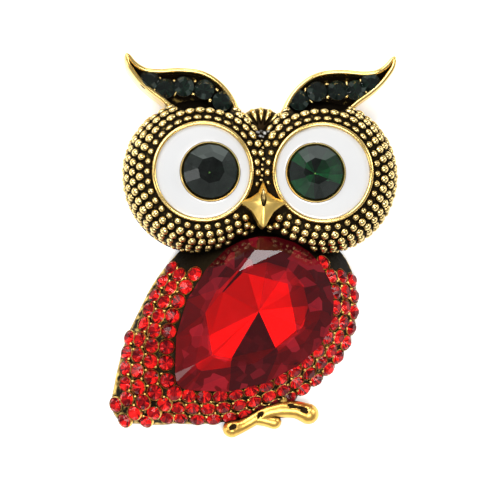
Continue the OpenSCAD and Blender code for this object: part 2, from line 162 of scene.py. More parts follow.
def field_share(a):
    """The field's width in this direction, read from the table on a smooth line."""
    x = wrapped(a)
    i = max(k for k in range(len(FIELD) - 1) if FIELD[k][0] <= x)
    slopes = []
    for k in (i, i + 1):
        lo, hi = FIELD[max(k - 1, 0)], FIELD[min(k + 1, len(FIELD) - 1)]
        slopes.append((hi[1] - lo[1]) / (hi[0] - lo[0]))
    (x0, y0), (x1, y1) = FIELD[i], FIELD[i + 1]
    h = x1 - x0
    f = (x - x0) / h
    return ((2 * f ** 3 - 3 * f * f + 1) * y0 + (f ** 3 - 2 * f * f + f) * h * slopes[0]
            + (3 * f * f - 2 * f ** 3) * y1 + (f ** 3 - f * f) * h * slopes[1])


def dome_width(a):
    """Width of the dome, with the part of it that runs in under the pear stone."""
    return FIELD_W * field_share(a) + OVERHANG


def dome_height(a, f, inset=0.0):
    """Height of the dome at a share of its width. It falls off later where the field is wide."""
    power = min(2.3, 1.1 + 1.4 * max(0, field_share(a) - 1))
    foot = EDGE_H - inset / 2
    return foot + (DOME_H - inset - foot) * (1 - max(f, 0) ** power)


def dome_point(a, f, inset=0.0):
    p = pear_edge(a, f * dome_width(a) - OVERHANG - inset)
    return Vector((p.x, p.y, dome_height(a, f, inset)))


def from_table(x, table):
    """Reads a table of pairs on straight lines."""
    for (x0, y0), (x1, y1) in zip(table, table[1:]):
        if x <= x1:
            return y0 + (y1 - y0) * (x - x0) / max(x1 - x0, 1e-9) if x > x0 else y0
    return table[-1][1]


def run_table(a):
    """How far along the dome each share of its width lies."""
    table, run = [(0, 0)], 0
    for i in range(1, DOME_STEPS + 1):
        run += (dome_point(a, i / DOME_STEPS) - dome_point(a, (i - 1) / DOME_STEPS)).length
        table.append((run, i / DOME_STEPS))
    return table


def row_share(a, row):
    """Where a row of stones lies on the dome, and whether a stone has room there."""
    start = STONE_PITCH / 2 + FIT + min(0.45, 0.9 * max(0, field_share(a) - 1))
    run, table = start + row * STONE_PITCH, run_table(a)
    return from_table(run, table), run + STONE_D * 0.15 <= table[-1][0]


def dome_tilt(a, f):
    """How steep the dome is there, in radians."""
    lo, hi = max(0, f - 0.02), min(1, f + 0.02)
    return atan2(dome_height(a, lo) - dome_height(a, hi), (hi - lo) * dome_width(a))


def stone_places():
    """Place and turn of every small stone, in the pear's own frame."""
    places = []
    for row, (first, last) in enumerate(STONE_ROWS):
        m = ceil((last - first) / 5)
        turns = [first + (last - first) * i / m for i in range(m + 1)]
        points = [dome_point(a, row_share(a, row)[0]) for a in turns]
        run, table = 0, [(0, turns[0])]
        for i in range(1, m + 1):
            run += (points[i] - points[i - 1]).length
            table.append((run, turns[i]))
        n = int(run / STONE_PITCH)
        for i in range(n + 1):
            a = from_table(run * i / n, table)
            f, fits = row_share(a, row)
            if fits:
                places.append(shift(dome_point(a, f)) @ spun(radians(a), "Z")
                              @ spun(dome_tilt(a, f), "Y"))
    return places


def smooth_step(a, b, c, d, f):
    """A place between b and c on the smooth line through a, b, c and d."""
    return 0.5 * (2 * b + (c - a) * f + (2 * a - 5 * b + 4 * c - d) * f * f
                  + (3 * b - a - 3 * c + d) * f ** 3)


PEAR_FRAME = shift(PEAR_AT) @ spun(radians(PEAR_TURN), "Z")


# Shapes of the head

def eye_at(side, turned_in=0.0):
    """The middle of an eye, or of its stone, which is turned in towards the beak."""
    return HEAD + Vector((side * (EYE_X - turned_in), 0, 0))


def ear_place(side, x, y):
    """A place on the ear, from its shares of the ear's width and height."""
    return Vector((side * (EAR_ROOT.x + x * EAR_W) + HEAD.x, EAR_ROOT.y + y * EAR_H + HEAD.y, 0))


def ear_stone_places(side):
    return [ear_place(side, x, y) + Vector((side * out, up, EAR_STONE_Z))
            for (x, y), (out, up) in zip(EAR_STONES, HAND_SET[side])]


def ear_line(side, steps=6):
    """The ear's edge, a smooth closed line."""
    points = [ear_place(side, x, y) for x, y in EAR]
    n, line = len(points), []
    for i in range(n):
        near = [points[(i + k) % n] for k in (-1, 0, 1, 2)]
        line += [smooth_step(*near, k / steps) for k in range(steps)]
    return line


def inwards(line, i, side):
    """The direction into the ear, square to its edge."""
    along = (line[(i + 1) % len(line)] - line[i - 1]).normalized()
    return Vector((along.y, -along.x, 0)) * side


def in_ring(at, ring):
    """Whether a place lies inside a flat ring of points."""
    inside = False
    for p, q in zip(ring, ring[1:] + ring[:1]):
        if (p.y > at.y) != (q.y > at.y) and at.x < p.x + (at.y - p.y) * (q.x - p.x) / (q.y - p.y):
            inside = not inside
    return inside


def ear_room(side):
    """The ear's hollow where it runs into the head: a sector outside a band round the eye."""
    line, eye = ear_line(side), eye_at(side)
    inner = [p + inwards(line, i, side) * 0.4 for i, p in enumerate(line)]
    room = []
    for r, way in ((BAND_R, 1), (LOBE_R + 0.6, -1)):
        inside = [a for a in range(20, 161) if in_ring(eye + turn_of(a) * r, inner)]
        first, last = (inside[0], inside[-1])[::way]
        room += [eye + turn_of(first + (last - first) * k / ROOM_STEPS) * r
                 for k in range(ROOM_STEPS + 1)]
    return room


# Mesh helpers

def new_object(name, data):
    """Puts a mesh, a light or a camera in the scene."""
    made = bpy.data.objects.new(name, data)
    bpy.context.collection.objects.link(made)
    return made


def patina_form():
    """An empty form, and the patina that its corners will carry."""
    bm = bmesh.new()
    return bm, bm.verts.layers.float.new("patina")


def raw_mesh(bm):
    mesh = bpy.data.meshes.new("form")
    bm.to_mesh(mesh)
    bm.free()
    return mesh


def closed_mesh(bm, part=None):
    """A mesh with its seams joined and its faces turned outwards. A part number gives all its
    faces the material of that number."""
    bmesh.ops.remove_doubles(bm, verts=bm.verts[:], dist=SAME_SPOT)
    bmesh.ops.recalc_face_normals(bm, faces=bm.faces[:])
    if part is not None:
        for f in bm.faces:
            f.material_index = part
    return raw_mesh(bm)


def ring_edges(bm, ring):
    return [bm.edges.get(pair) for pair in zip(ring, ring[1:] + ring[:1])]


def level(ring, z):
    """The same ring at one height."""
    return [Vector((p.x, p.y, z)) for p in ring]


def loft(bm, rings, round_trip=False):
    """Skins a row of equal rings: each is extruded from the one before and put in place."""
    ring = bmesh.ops.create_circle(bm, segments=len(rings[0]), radius=1)["verts"]
    for v, p in zip(ring, rings[0]):
        v.co = p
    first = edges = ring_edges(bm, ring)
    for places in rings[1:]:
        grown = bmesh.ops.extrude_edge_only(bm, edges=edges)["geom"]
        new = {v for v in grown if isinstance(v, bmesh.types.BMVert)}
        ring = [next(e.other_vert(v) for e in v.link_edges if e.other_vert(v) in new)
                for v in ring]
        for v, p in zip(ring, places):
            v.co = p
        edges = ring_edges(bm, ring)
    if round_trip:
        bmesh.ops.bridge_loops(bm, edges=first + edges)
    else:
        bmesh.ops.edgeloop_fill(bm, edges=first)
        bmesh.ops.edgeloop_fill(bm, edges=edges)


def drum(r, low, high):
    """The profile of an upright cylinder, to be turned."""
    return [(0, low), (r, low), (r, high), (0, high)]


def turned(bm, profile, steps=96, at=(0, 0, 0), closed=False):
    """Turns a profile of radius and height about an upright axis."""
    verts = [bm.verts.new((r, 0, z)) for r, z in profile]
    pairs = list(zip(verts, verts[1:])) + ([(verts[-1], verts[0])] if closed else [])
    edges = [bm.edges.new(p) for p in pairs]
    before = set(bm.verts) - set(verts)
    bmesh.ops.spin(bm, geom=verts + edges, cent=(0, 0, 0), axis=(0, 0, 1), dvec=(0, 0, 0),
                   angle=2 * pi, steps=steps, use_merge=True, use_duplicate=False)
    new = [v for v in bm.verts if v not in before]
    bmesh.ops.remove_doubles(bm, verts=new, dist=SAME_SPOT)
    new = [v for v in bm.verts if v not in before]
    bmesh.ops.translate(bm, vec=Vector(at), verts=new)


def repeat(bm, mesh, places):
    """Adds a copy of one small mesh at every place."""
    for place in places:
        count = len(bm.verts)
        bm.from_mesh(mesh)
        bm.verts.ensure_lookup_table()
        bmesh.ops.transform(bm, matrix=place, verts=bm.verts[count:])


def half_space(bm, at, away):
    """Removes all that lies past a plane."""
    bmesh.ops.bisect_plane(bm, geom=bm.verts[:] + bm.edges[:] + bm.faces[:], dist=0.0001,
                           plane_co=at, plane_no=away, clear_outer=True)


def cut_away(mesh, bodies, materials, crossing=False):
    """Cuts each of the bodies out of a closed mesh, also where its own walls cross."""
    for m in [mesh] + bodies:
        for material in materials:
            m.materials.append(material)
    piece, tools = new_object("cut", mesh), [new_object("tool", body) for body in bodies]
    for tool in tools:
        cut = piece.modifiers.new("cut", "BOOLEAN")
        cut.operation, cut.solver, cut.object = "DIFFERENCE", "EXACT", tool
        cut.use_self = crossing
    state = bpy.context.evaluated_depsgraph_get()
    result = bpy.data.meshes.new_from_object(piece.evaluated_get(state))
    for o in tools + [piece]:
        bpy.data.objects.remove(o)
    bm = bmesh.new()
    bm.from_mesh(result)
    bmesh.ops.remove_doubles(bm, verts=bm.verts[:], dist=2 * SAME_SPOT)
    bmesh.ops.holes_fill(bm, edges=[e for e in bm.edges if len(e.link_faces) == 1])
    bm.to_mesh(result)
    bm.free()
    return result


def finish_piece(name, mesh, materials, crease=35, nodes=("casting",)):
    """Turns a mesh into a piece of the brooch, in metres. Edges sharper than the crease stay
    sharp, and with no crease all faces are flat."""
    mesh.transform(Matrix.Scale(MM, 4))
    mesh.name = name
    while len(mesh.materials) < len(materials):
        mesh.materials.append(None)
    for i, material in enumerate(materials):
        mesh.materials[i] = material
    if crease:
        mesh.shade_smooth()
        mesh.set_sharp_from_angle(angle=radians(crease))
    else:
        mesh.shade_flat()
    piece = new_object(name, mesh)
    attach(piece, "root")
    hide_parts(*nodes)


# Materials

def feed(socket, value):
    """Links another node's output to a socket, or puts a number or a colour on it."""
    if isinstance(value, bpy.types.NodeSocket):
        socket.id_data.links.new(value, socket)
    else:
        socket.default_value = (*value, 1) if isinstance(value, tuple) else value


def set_inputs(node, **values):
    """Feeds the inputs that are named, with _ for a space."""
    for key, value in values.items():
        feed(node.inputs[key.replace("_", " ")], value)


def add_node(tree, kind, **values):
    node = tree.nodes.new(kind)
    set_inputs(node, **values)
    return node


def attribute(tree, name):
    """The value that a piece's mesh carries under this name."""
    node = tree.nodes.new("ShaderNodeAttribute")
    node.attribute_name = name
    return node.outputs["Fac"]


def maths(tree, operation, *values, clamp=False):
    """One step of arithmetic on numbers and on other nodes' outputs."""
    node = tree.nodes.new("ShaderNodeMath")
    node.operation, node.use_clamp = operation, clamp
    for socket, value in zip(node.inputs, values):
        feed(socket, value)
    return node.outputs[0]


def ramp(tree, amount, *stops):
    """Turns a number into a colour between two stops."""
    node = add_node(tree, "ShaderNodeValToRGB", Fac=amount)
    for element, (place, colour) in zip(node.color_ramp.elements, stops):
        element.position, element.color = place, (*colour, 1)
    return node.outputs["Color"]


def blend(tree, factor, a, b, kind="MIX"):
    node = tree.nodes.new("ShaderNodeMix")
    node.data_type, node.blend_type = "RGBA", kind
    set_inputs(node, Factor=factor, A=a, B=b)
    return node.outputs["Result"]


def bumped(tree, height, strength, distance=0.0001):
    return add_node(tree, "ShaderNodeBump", Strength=strength, Distance=distance,
                    Height=height).outputs["Normal"]


def new_group(name, inputs, outputs):
    """A node group with named inputs and outputs. Those named as a colour hold a colour."""
    group = bpy.data.node_groups.new(name, "ShaderNodeTree")
    for in_out, keys in (("INPUT", inputs), ("OUTPUT", outputs)):
        for key in keys:
            kind = "NodeSocketColor" if "Colour" in key else "NodeSocketFloat"
            socket = group.interface.new_socket(name=key, in_out=in_out, socket_type=kind)
            if in_out == "INPUT":
                feed(socket, inputs[key])
    given = group.nodes.new("NodeGroupInput").outputs
    put_out = group.nodes.new("NodeGroupOutput").inputs
    return group, given, put_out, add_node(group, "ShaderNodeTexCoord").outputs["Object"]


def make_patina_group():
    """Dark antiquing that lies in the hollows of cast metal, and the polish on its high places."""
    g, given, put_out, place = new_group(
        "antique_patina",
        {"Polished Colour": (0.95, 0.66, 0.22), "Patina Colour": (0.03, 0.018, 0.008),
         "Reach": 0.7, "Cover": 0.0, "Grain Size": 1500.0, "Roughness": 0.2},
        ("Colour", "Surface Roughness", "Height"))
    hollow = add_node(g, "ShaderNodeAmbientOcclusion", Distance=0.0009)
    hollow.samples = 8
    grain = add_node(g, "ShaderNodeTexNoise", Vector=place, Scale=given["Grain Size"],
                     Detail=4).outputs["Fac"]
    depth = maths(g, "SUBTRACT", 1.0, hollow.outputs["AO"])
    lifted = maths(g, "ADD", depth, maths(g, "MULTIPLY_ADD", grain, 0.55, -0.27))
    total = maths(g, "ADD", lifted, attribute(g, "patina"))
    strength = maths(g, "MULTIPLY_ADD", total, given["Reach"], given["Cover"])
    mask = ramp(g, strength, (0.16, (0, 0, 0)), (0.42, (1, 1, 1)))
    colour = blend(g, mask, given["Polished Colour"], given["Patina Colour"])
    cloud = add_node(g, "ShaderNodeTexNoise", Vector=place, Scale=420, Detail=3).outputs["Fac"]
    tone = ramp(g, cloud, (0.3, (0.78, 0.74, 0.66)), (0.7, (1, 1, 1)))
    feed(put_out["Colour"], blend(g, 1, colour, tone, "MULTIPLY"))
    feed(put_out["Surface Roughness"], maths(g, "MULTIPLY_ADD", mask, 0.3, given["Roughness"]))
    feed(put_out["Height"], grain)
    return g


def make_tone_group():
    """Slow changes of tone and fine specks, for enamel, and for glass and foil shifted by each facet's
    painted shade.
    """
    g, given, put_out, place = new_group(
        "soft_tone", {"Light Colour": (1, 1, 1), "Deep Colour": (0.8, 0.8, 0.8), "Scale": 200.0,
                      "Shade": 0.0, "Mottle": 1.0}, ("Colour", "Height"))
    cloud = add_node(g, "ShaderNodeTexNoise", Vector=place, Scale=given["Scale"],
                     Detail=2).outputs["Fac"]
    amount = maths(g, "MULTIPLY_ADD", cloud, given["Mottle"], given["Shade"], clamp=True)
    feed(put_out["Colour"], blend(g, amount, given["Light Colour"], given["Deep Colour"]))
    feed(put_out["Height"], cloud)
    return g


def make_shard_group():
    """Breaks a painted glow into flat shards of unequal painted light, standing in for the light that
    the back facets send back inside a stone.
    """
    g, given, put_out, place = new_group(
        "broken_light", {"Colour": (1, 1, 1), "Scale": 500.0, "Contrast": 1.0}, ("Broken Colour",))
    cells = add_node(g, "ShaderNodeTexVoronoi", Vector=place, Scale=given["Scale"])
    parts = add_node(g, "ShaderNodeSeparateColor", Color=cells.outputs["Color"])
    few_bright = maths(g, "POWER", parts.outputs["Red"], 4.0)
    light = maths(g, "MULTIPLY_ADD", maths(g, "SUBTRACT", few_bright, 0.2), given["Contrast"], 1.0)
    lit = g.nodes.new("ShaderNodeVectorMath")
    lit.operation = "SCALE"
    set_inputs(lit, Vector=given["Colour"], Scale=light)
    feed(put_out["Broken Colour"], lit.outputs["Vector"])
    return g


PATINA = make_patina_group()
TONE = make_tone_group()
SHARDS = make_shard_group()


def new_material(name):
    m = bpy.data.materials.new(name)
    m.use_nodes = True
    return m, m.node_tree.nodes["Principled BSDF"]


def use_group(tree, group, **values):
    node = tree.nodes.new("ShaderNodeGroup")
    node.node_tree = group
    set_inputs(node, **values)
    return node.outputs


def gold(name, reach, roughness, grain=1500, bump=0.25, colour=(0.95, 0.66, 0.19), cover=0.0,
         patina_colour=(0.03, 0.018, 0.008)):
    """Cast metal: the reach and the cover say how far its patina comes out of the hollows."""
    m, shader = new_material(name)
    tree = m.node_tree
    patina = use_group(tree, PATINA, Polished_Colour=colour, Patina_Colour=patina_colour,
                       Reach=reach, Cover=cover, Roughness=roughness, Grain_Size=grain)
    set_inputs(shader, Base_Color=patina["Colour"], Roughness=patina["Surface Roughness"],
               Metallic=1, Normal=bumped(tree, patina["Height"], bump))
    return m


def glass(name, light, deep, glow, ior=1.38, mottle=0.1, shards=500, contrast=1.0, polish=0.0):
    """Tinted glass: a facet with a deeper painted shade is darker and has a faint painted glow,
    standing in for light sent back from inside the stone.
    """
    m, shader = new_material(name)
    tree = m.node_tree
    facet = attribute(tree, "facet")
    tint = use_group(tree, TONE, Light_Colour=light, Deep_Colour=deep, Scale=300, Mottle=0.012,
                     Shade=facet)
    glows = use_group(tree, TONE, Light_Colour=(0, 0, 0), Deep_Colour=glow, Scale=900,
                      Mottle=mottle, Shade=facet)
    broken = use_group(tree, SHARDS, Colour=glows["Colour"], Scale=shards, Contrast=contrast)
    set_inputs(shader, Base_Color=tint["Colour"], Transmission_Weight=1.0, Roughness=polish,
               IOR=ior, Emission_Color=broken["Broken Colour"], Emission_Strength=1.0)
    return m


def foil(name, light, deep, glow):
    """The foil behind a stone: each facet has a painted tone of light or shade that stands in for its
    reflection, and a little of it is a painted glow.
    """
    m, shader = new_material(name)
    tree = m.node_tree
    tone = use_group(tree, TONE, Light_Colour=light, Deep_Colour=deep, Scale=500, Mottle=0.15,
                     Shade=attribute(tree, "facet"))
    set_inputs(shader, Base_Color=tone["Colour"], Metallic=1.0, Roughness=0.3,
               Emission_Color=tone["Colour"], Emission_Strength=glow,
               Normal=bumped(tree, tone["Height"], 0.05))
    return m


def enamel(name, light, deep):
    """Smooth poured enamel under a clear skin."""
    m, shader = new_material(name)
    tree = m.node_tree
    tone = use_group(tree, TONE, Light_Colour=light, Deep_Colour=deep, Scale=120)
    set_inputs(shader, Base_Color=tone["Colour"], Roughness=0.12, Coat_Weight=0.6,
               Coat_Roughness=0.03, Normal=bumped(tree, tone["Height"], 0.06, 0.0004))
    return m


SOOT, BLACK = (0.015, 0.011, 0.006), (0.008, 0.006, 0.004)
antique_gold = gold("antique_gold", 1.15, 0.26, colour=(0.9, 0.68, 0.27))
head_gold = gold("blackened_head_gold", 1.5, 0.36, 1700, 0.7, cover=0.46, patina_colour=SOOT)
back_gold = gold("back_gold", 0.7, 0.36, 1600, 0.35, (0.82, 0.56, 0.19))
recess_gold = gold("black_recess_gold", 1.5, 0.4, 1400, 0.5, cover=0.8, patina_colour=BLACK)
body_gold = gold("blackened_body_gold", 1.5, 0.32, 1300, 1.0, cover=0.16, patina_colour=SOOT)
bead_gold = gold("bead_gold", 1.2, 0.2, 2200, 0.12, (0.86, 0.66, 0.28))
polished_gold = gold("polished_gold", 0.45, 0.2, 900, 0.08, (1.0, 0.72, 0.26))
beak_gold = gold("beak_gold", 0.3, 0.36, 900, 0.1, (1.0, 0.7, 0.2))
dark_gold = gold("ear_hollow_gold", 2.0, 0.3, 700, 0.8, cover=0.24, patina_colour=BLACK)
foot_gold = gold("foot_gold", 1.4, 0.34, 1300, 0.5, (0.95, 0.58, 0.14))
setting_gold = gold("setting_gold", 0.55, 0.26, 1500, 0.2)
pin_gold = gold("pin_gold", 0.5, 0.3, 2600, 0.3, (0.9, 0.62, 0.24))
# Grey of the rough lumps: a painted highlight on rough metal
lump_highlight_grey = gold("grey_lump_painted_highlight", 1.5, 0.42, 1500, 1.0, (0.42, 0.42, 0.41), cover=0.12)
enamel_white = enamel("white_enamel", (0.56, 0.562, 0.562), (0.48, 0.483, 0.49))
# The glows of the glass and foil are painted light, standing in for light sent back from inside the
# stones
red_glass = glass("red_crystal", (1, 0.45, 0.45), (0.006, 0.0003, 0.0006), (0.085, 0.003, 0.006),
                  mottle=0.2, shards=560, contrast=2.6)
red_foil = foil("red_crystal_foil", (0.75, 0.003, 0.003), (0.03, 0.001, 0.003), 0.32)
small_red_glass = glass("small_red_crystal", (1, 0.45, 0.45), (0.02, 0.002, 0.004),
                        (0.09, 0.003, 0.006), 1.24, contrast=0.5, polish=0.08)
small_red_foil = foil("small_red_foil", (1, 0.03, 0.025), (0.05, 0.002, 0.004), 0.7)
green_glass = glass("dark_green_crystal", (0.15, 0.5, 0.3), (0.1, 0.14, 0.12),
                    (0.13, 0.15, 0.14), 1.3, shards=380, contrast=0.5)
green_foil = foil("dark_green_foil", (0.008, 0.14, 0.05), (0.001, 0.003, 0.002), 0.25)
ear_glass = glass("dark_ear_crystal", (0.2, 0.4, 0.3), (0.1, 0.14, 0.12), (0.05, 0.065, 0.058), 1.3,
                  contrast=0.4)
ear_foil = foil("dark_ear_foil", (0.01, 0.05, 0.03), (0.002, 0.004, 0.003), 0.25)


# Gold

def ring_of(place):
    """A ring round the pear, in the brooch's frame."""
    return [PEAR_FRAME @ place(360 * i / RING_STEPS) for i in range(RING_STEPS)]


def body_rings(inset):
    """Rings over the dome, from its edge up to the pear stone."""
    return [ring_of(lambda a: dome_point(a, 1 - k / DOME_STEPS, inset))
            for k in range(DOME_STEPS + 1)]


def bowl_rings(out):
    """The bowl under the pear stone, with a clearance or a wall."""
    return [ring_of(lambda a: pear_edge(a) * BACK_SHARE + turn_of(a) * out
                    + UP * (GIRDLE_Z - PEAR_DEPTH * BACK_DEPTH - out / 2)),
            ring_of(lambda a: Vector((POINT_X, 0, GIRDLE_Z - PEAR_DEPTH - out))
                    + turn_of(a) * (0.1 + out))]


def both_sides(profile, steps, part=None):
    """A turned side of the head, halved between the eyes and mirrored to the other side."""
    bm = bmesh.new()
    turned(bm, profile, steps, (EYE_X, 0, 0))
    half_space(bm, (0, 0, 0), (-1, 0, 0))
    bmesh.ops.mirror(bm, geom=bm.verts[:] + bm.edges[:] + bm.faces[:], merge_dist=0.001,
                     axis="X")
    bmesh.ops.translate(bm, vec=HEAD, verts=bm.verts[:])
    return closed_mesh(bm, part)


def head_hollow():
    """The hollow behind the head, as a body to cut with."""
    wide, top = LOBE_R - WALL, FLOOR_Z - WALL - 1
    return both_sides([(0, -1), (wide, -1), (wide, LOBE_EDGE - 0.6), (wide - 0.25, LOBE_EDGE + 0.2),
                       (RING_R + LOBE_BAND * 0.4 - WALL * 0.5, top), (RING_R - 0.4, top + 0.2),
                       (0, top + 0.2)], 64, BACK_PART)


def body_hollow():
    """The hollow behind the body, as a body to cut with."""
    bm, rings = bmesh.new(), body_rings(WALL)
    loft(bm, [level(rings[0], -1)] + rings)
    return closed_mesh(bm, BACK_PART)


def pear_room():
    """The room of the pear stone, as a body to cut with."""
    bm = bmesh.new()
    loft(bm, [ring_of(lambda a: pear_edge(a, 0.12) + UP * z) for z in (GIRDLE_Z - 2.2, 12)])
    return closed_mesh(bm, RECESS_PART)


def seats_mesh(places):
    """The holes of all the small stones, as one body to cut with."""
    seat, bm = bmesh.new(), bmesh.new()
    r = STONE_D / 2 - 0.02
    turned(seat, [(0, -0.8), (r * 0.4, -0.8), (r, -0.05), (r, 0.9), (0, 0.9)], 12)
    repeat(bm, closed_mesh(seat), places)
    return raw_mesh(bm)


NECK_Y, NECK_PATINA, DOME_PATINA, EDGE_LINE, CUP_WALL = -4, 0.3, 0.22, 0.22, 0.6


def make_body(places):
    """The dome, its wall and the bowl in one skin. The patina is heavier at the neck, and the
    outer edge is polished."""
    bm, dark = patina_form()
    rings, inner = body_rings(0), body_rings(WALL)
    bowl, cup = bowl_rings(FIT), bowl_rings(FIT + CUP_WALL)
    foot, inner_foot = level(rings[0], 0), level(inner[0], 0)
    low = [p - UP * EDGE_LINE for p in rings[0]]
    loft(bm, [cup[1], cup[0]] + inner[::-1] + [inner_foot, foot, low] + rings + bowl)

    def spot(p):
        return tuple(round(c, 3) for c in p)

    edge = {spot(p)[:2] for p in rings[0]}
    hidden = {spot(p) for ring in [cup[1], cup[0], inner_foot] + inner for p in ring}
    for v in bm.verts:
        at_neck = 0 if spot(v.co) in hidden else max(0, v.co.y - NECK_Y) * 0.2
        v[dark] = 0.0 if spot(v.co)[:2] in edge else DOME_PATINA + min(NECK_PATINA, at_neck)
    for f in bm.faces:
        if all(spot(v.co) in hidden for v in f.verts):
            f.material_index = BACK_PART
    materials = [body_gold, recess_gold, back_gold]
    mesh = cut_away(closed_mesh(bm), [head_hollow(), seats_mesh(places)], materials, True)
    finish_piece("gold_body", mesh, materials)


def make_lobes():
    """The head's outer form, cut free of its hollow and of all that sits in it."""
    arc = [(RING_R + LOBE_BAND * sin(radians(t)), LOBE_EDGE + LOBE_RISE * cos(radians(t)))
           for t in range(90, -1, -9)]
    outer = ([(0, 0.0), (LOBE_R - 0.15, 0.0), (LOBE_R, 0.15)] + arc
             + [(RING_R - 0.05, LOBE_H + 0.5), (RING_R - RING_T, LOBE_H + 0.5),
                (RING_R - RING_T, FLOOR_Z), (0, FLOOR_Z)])
    cups, rooms, seats = [], [], bmesh.new()
    for side in (-1, 1):
        cup, room, edge = bmesh.new(), bmesh.new(), ear_room(side)
        turned(cup, drum(CUP_R - 0.1, 5, 9), 48, eye_at(side, TURN_IN))
        cups.append(closed_mesh(cup))
        for at in ear_stone_places(side):
            turned(seats, drum(EAR_SEAT_R, EAR_FLOOR + 0.25, 9), 24, flat(at))
        foot = [p + UP * (EAR_STEP_Z if i <= ROOM_STEPS else EAR_FLOOR + 0.1)
                for i, p in enumerate(edge)]
        loft(room, [foot, level(edge, 9.6)])
        rooms.append(closed_mesh(room, RECESS_PART))
    tools = ([head_hollow(), body_hollow(), pear_room()] + cups
             + [closed_mesh(seats, RECESS_PART)] + rooms)
    materials = [head_gold, recess_gold, back_gold]
    finish_piece("gold_head", cut_away(both_sides(outer, 128), tools, materials), materials)


def make_eye_rims():
    """Polished rings round the enamel and thin cups round the eye stones."""
    bm = bmesh.new()
    top = RING_TOP
    rim = [(RING_R - RING_T, FLOOR_Z + 0.3), (RING_R - RING_T, top - 0.2),
           (RING_R - RING_T + 0.08, top - 0.06), (RING_R - RING_T / 2, top),
           (RING_R - 0.08, top - 0.06), (RING_R, top - 0.2), (RING_R + 0.02, LOBE_H - 0.4)]
    cup = [(0, CUP_FOOT), (CUP_R - 0.1, CUP_FOOT), (CUP_R, CUP_FOOT + 0.1), (CUP_R, 8.6),
           (CUP_R - 0.1, 8.7), (CUP_R - 0.14, 9.1), (CUP_R - 0.28, 9.28), (CUP_R - 0.46, 9.12),
           (0.6, EYE_STONE_Z - 2.7), (0, EYE_STONE_Z - 2.7)]
    for side in (-1, 1):
        turned(bm, rim, 96, eye_at(side), closed=True)
        turned(bm, cup, 64, eye_at(side, TURN_IN))
        turned(bm, drum(1.5, 3.6, 6.9), 32, eye_at(side))
    finish_piece("eye_rims", closed_mesh(bm), [polished_gold], 50)


def bead_mesh(d, squash=0.95):
    """A round bead with its lower part cut off, darker at its foot."""
    bm, dark = patina_form()
    bmesh.ops.create_uvsphere(bm, u_segments=10, v_segments=7, radius=d / 2)
    half_space(bm, (0, 0, -d * 0.25), (0, 0, -1))
    bmesh.ops.holes_fill(bm, edges=bm.edges[:])
    bmesh.ops.scale(bm, vec=(1, 1, squash), verts=bm.verts[:])
    for v in bm.verts:
        v[dark] = 0.25 * max(0, 1 - (v.co.z / d + 0.25) * 3)
    return raw_mesh(bm)


def no_room_for_bead(x, y, at, rooms):
    """Whether something else, or the head's middle, is where a bead would be."""
    spot = flat(at)
    stones = [flat(p) for side in (-1, 1) for p in ear_stone_places(side)]
    by_pear = (spot - PEAR_AT).length < PEAR_R + 0.75
    by_beak = abs(x) / (BEAK_W * 0.56) + abs(y - BEAK_Y) / (BEAK_L * 0.62) < 1
    by_ear_stone = min((spot - p).length for p in stones) < 1.75
    in_ear = any(in_ring(at, room) for room in rooms)
    under_ear = at.z < EAR_TOP - 0.6 and y > EAR_ROOT.y and x < 16
    by_crest = (x < 1 and y > 5.2) or (at.z < 6.4 and hypot(x, y - CREST_Y) < CREST_R)
    return x < 0.5 or by_pear or by_beak or by_ear_stone or in_ear or under_ear or by_crest


def make_beads():
    """Rows of cast beads round both eyes, drawn out above them, with beads and rough lumps between; the
    lumps' grey is a painted highlight.
    """
    bm = patina_form()[0]
    bead, rooms = bead_mesh(1.0), [ear_room(side) for side in (-1, 1)]
    random.seed(4)
    for side in (-1, 1):
        places = []
        for row, (share, pitch, size, drop) in enumerate(BEAD_ROWS):
            t = min(90, share * BEAD_STEP / ((LOBE_BAND + LOBE_RISE) / 2) * 180 / pi)
            r = RING_R + LOBE_BAND * sin(radians(t))
            z = LOBE_EDGE + LOBE_RISE * cos(radians(t)) - drop
            n = int(2 * pi * r / pitch)
            for i in range(n):
                a = (i + row * 0.5) * 360 / n
                x, y = EYE_X + r * cos(radians(a)), r * sin(radians(a))
                at = Vector((side * x + HEAD.x, y + HEAD.y, z))
                if no_room_for_bead(x, y, at, rooms):
                    continue
                # Above the eyes the beads are smaller and drawn out along their row
                grown = size * random.uniform(0.93, 1.06) * (0.88 if y > 6 else 1)
                drawn = 0.22 * min(1, max(0, y - 4.5))
                spin = a if side > 0 else 180 - a
                places.append(shift(at) @ spun(radians(spin), "Z") @ spun(radians(t), "Y")
                              @ Matrix.Diagonal((grown * (1 - drawn * 0.7), grown * (1 + drawn * 1.6),
                                                 grown, 1)))
        repeat(bm, bead, places)
    # The lumps take the second material, whose grey is a painted highlight
    for spots, index in ((FOLD_BEADS, 0), (GREY_LUMPS, 1)):
        faces, places = len(bm.faces), []
        for x, y, d in spots:
            t = asin(min(1, (hypot(EYE_X - abs(x), y) - RING_R) / LOBE_BAND))
            z = LOBE_EDGE + LOBE_RISE * cos(t) + 0.15 * index
            places.append(shift(HEAD + Vector((x, y, z))) @ spun(random.uniform(-0.3, 0.3), "X")
                          @ Matrix.Diagonal((d, d * (1 - 0.3 * index), d, 1)))
        repeat(bm, bead, places)
        bm.faces.ensure_lookup_table()
        for f in bm.faces[faces:]:
            f.material_index = index
    finish_piece("head_beads", raw_mesh(bm), [bead_gold, lump_highlight_grey], 80)


